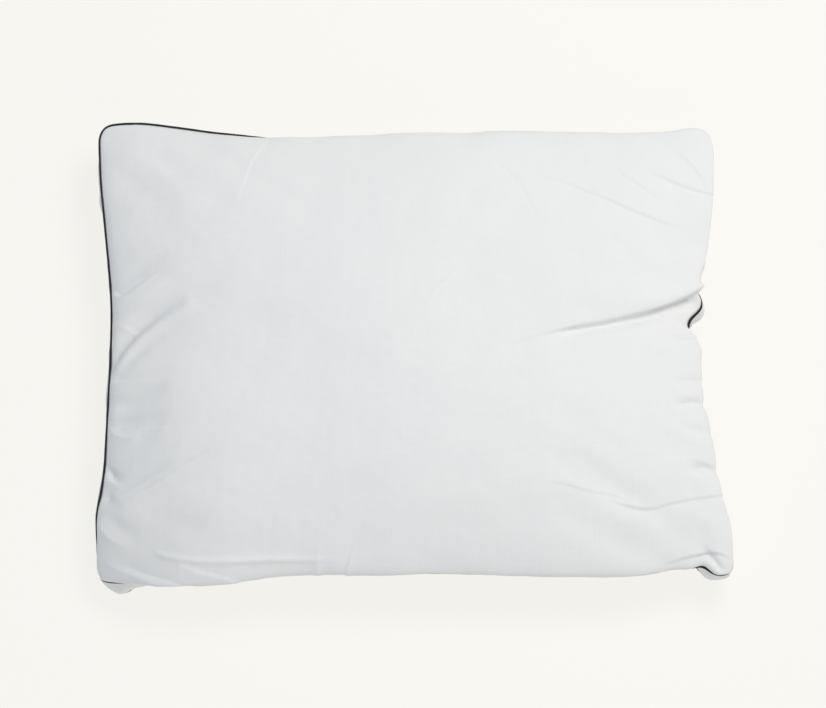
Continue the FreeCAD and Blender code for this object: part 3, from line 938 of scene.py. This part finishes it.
def join_line():
    """The gusset's upright line of points at the middle of the rear side, moved just beside the join."""
    wall = points_of(case)[used_by(case.data, GUSSET)]
    column = wall[(wall[:, 1] > 0) & (np.abs(wall[:, 0]) < 2)]
    column = column[np.argsort(column[:, 2])][1:-1]
    column[:, 0] = JOIN_STITCHES_BESIDE
    return column


stitch_row("join_stitches", join_line(), stitch=2.4, gap=0.7, radius=0.28, material=sewing_thread,
           node="gusset_join_stitching")

PIPE_POINTS = 1100
PIPE_SHARE = 0.82  # of the CAD's radius, for a strip pulled tight round its cord
THREAD_RADIUS = 0.25
STITCHES_IN = 2  # from the seam line
STITCHES_OFF = 1.2  # from the seam line towards the middle of the gusset


def waves(count):
    """A number of whole waves round a piping, with a value for each of its points."""
    return np.sin(np.arange(PIPE_POINTS) * math.tau * count / PIPE_POINTS)


for level, part in (("top", UPPER), ("bottom", LOWER)):
    loop = seam_loop(case.data, part)
    if part == LOWER:
        loop = loop[::-1]
    line = evened(points_of(case)[loop], PIPE_POINTS, 8)
    along, out = loop_frame(line)
    between = evened(normals_of(case)[loop], PIPE_POINTS, 12)
    between /= np.linalg.norm(between, axis=1, keepdims=True)
    centre = line + between * PIPING_OUT
    centre[:, 2] = np.maximum(centre[:, 2], PIPING_RADIUS + 0.4)
    pipe = PIPING_RADIUS * PIPE_SHARE * (1 + 0.03 * waves(130) + 0.02 * waves(47))
    tube(f"{level}_piping", centre, pipe, 14, bias_cloth, f"{level}_piping_cover")
    tube(f"{level}_cord", centre, CORD_RADIUS, 8, cord_cotton, f"{level}_piping_cord")
    down = -STITCHES_OFF if part == UPPER else STITCHES_OFF
    inside = line - out * STITCHES_IN + np.array([0, 0, down])
    thread = THREAD_RADIUS * (1 + 0.5 * np.abs(waves(400)))
    tube(f"{level}_stitches", inside, thread, 6, sewing_thread, f"{level}_seam_stitching")
bpy.data.objects.remove(case)


# ------------------------------------------------------------------ floor, light and camera


def floor_paper():
    """Pale, faintly mottled paper that glows a little, so that shadows on it stay light."""
    material = bpy.data.materials.new("floor_paper")
    material.use_nodes = True
    nodes, links = material.node_tree.nodes, material.node_tree.links
    shader = nodes["Principled BSDF"]
    mottle = nodes.new("ShaderNodeTexNoise")
    mottle.inputs["Scale"].default_value = 3
    tint = nodes.new("ShaderNodeMix")
    tint.data_type = "RGBA"
    tint.inputs["A"].default_value = (0.17, 0.168, 0.162, 1)
    tint.inputs["B"].default_value = (0.19, 0.187, 0.181, 1)
    links.new(mottle.outputs["Fac"], tint.inputs["Factor"])
    links.new(tint.outputs["Result"], shader.inputs["Base Color"])
    shader.inputs["Roughness"].default_value = 1
    shader.inputs["Specular IOR Level"].default_value = 0
    shader.inputs["Emission Color"].default_value = (1, 0.99, 0.945, 1)
    shader.inputs["Emission Strength"].default_value = 0.78
    return material


FLOOR_REACH = 3000
floor = make_object("floor", [(FLOOR_REACH * x, FLOOR_REACH * y, 0) for x, y in CORNERS], [(0, 1, 2, 3)])
floor.data.materials.append(floor_paper())


def area_light(name, place, size, power, colour):
    """A square light that faces the pillow. Its place and size are in metres, and its power is in watts."""
    light = bpy.data.lights.new(name, "AREA")
    light.size, light.energy, light.color = size, power, colour
    lamp = bpy.data.objects.new(name, light)
    lamp.location = place
    lamp.rotation_euler = (Vector((0, 0, 0)) - lamp.location).to_track_quat("-Z", "Y").to_euler()
    bpy.context.scene.collection.objects.link(lamp)


SKY_LEFT = [0.44 * share for share in (0.86, 0.94, 1.08)]
SKY_RIGHT = [0.66 * share for share in (0.98, 0.985, 0.98)]


def studio_sky():
    """A plain sky, dimmer and cooler on the left."""
    world = bpy.data.worlds.new("studio")
    world.use_nodes = True
    sky, join = world.node_tree.nodes, world.node_tree.links.new
    sideways = sky.new("ShaderNodeSeparateXYZ")
    join(sky.new("ShaderNodeTexCoord").outputs["Generated"], sideways.inputs[0])
    rightness = sky.new("ShaderNodeMapRange")
    rightness.inputs["From Min"].default_value = -1
    join(sideways.outputs["X"], rightness.inputs["Value"])
    colour = sky.new("ShaderNodeMix")
    colour.data_type = "RGBA"
    colour.inputs["A"].default_value = (*SKY_LEFT, 1)
    colour.inputs["B"].default_value = (*SKY_RIGHT, 1)
    join(rightness.outputs["Result"], colour.inputs["Factor"])
    join(colour.outputs["Result"], sky["Background"].inputs["Color"])
    bpy.context.scene.world = world


ELEVATION = math.radians(77)
DISTANCE = 2.9  # metres from the camera to where it looks
LENS = 122  # millimetres
AIM = Vector((0.003, 0, 0.075))


def photo_camera():
    """The photo's camera, in front of the pillow and almost straight above it."""
    camera = bpy.data.cameras.new("camera")
    camera.lens = LENS
    eye = bpy.data.objects.new("camera", camera)
    eye.location = AIM + DISTANCE * Vector((0, -math.cos(ELEVATION), math.sin(ELEVATION)))
    eye.rotation_euler = (AIM - eye.location).to_track_quat("-Z", "Y").to_euler()
    bpy.context.scene.collection.objects.link(eye)
    bpy.context.scene.camera = eye


area_light("key", Vector((0.55, 0.55, 1.9)), 0.7, 17.5, (1.0, 0.985, 0.96))
area_light("fill", Vector((0.2, -1.3, 1.5)), 0.9, 2.5, (1.0, 0.99, 0.97))
studio_sky()
photo_camera()
bpy.context.scene.view_settings.view_transform = "Standard"
